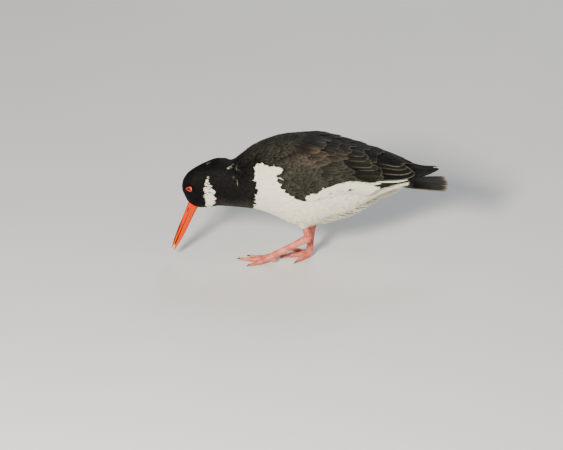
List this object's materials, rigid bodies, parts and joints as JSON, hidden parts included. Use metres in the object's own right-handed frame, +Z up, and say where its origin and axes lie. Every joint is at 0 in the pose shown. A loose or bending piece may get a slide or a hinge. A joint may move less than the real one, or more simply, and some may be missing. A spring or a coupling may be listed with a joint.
{
  "type": "oystercatcher",
  "caption": "Life-size wading oystercatcher with its bill lowered, one foot forward, folded wings and tail in overlapping feather tiers.",
  "frame": {"origin": "on the floor, under the middle of the whole bird's box", "axes": "+Z up, +X towards the tail so the bill points to -X, +Y to the bird's right side"},
  "size_m": [0.3716, 0.1114, 0.1816],
  "materials": {
    "black_feathers": "soft black feathers with a faint sheen",
    "belly_feathers": "soft warm white feathers",
    "flight_feathers": "dark olive-brown feathers with pale worn fringes",
    "bill": "smooth orange-red horn",
    "eye": "wet red eye",
    "leg_skin": "scaled pink skin"
  },
  "bodies": {
    "root": {"head": "black_feathers", "neck": "black_feathers", "torso": "belly_feathers", "tail": "flight_feathers", "wing_left": "flight_feathers", "wing_right": "flight_feathers", "bill_upper": "bill", "bill_lower": "bill", "eye_left": "eye", "eye_right": "eye", "shin_left": "belly_feathers", "shin_right": "belly_feathers", "tarsus_left": "leg_skin", "tarsus_right": "leg_skin", "foot_left": "leg_skin", "foot_right": "leg_skin"}
  },
  "joints": []
}
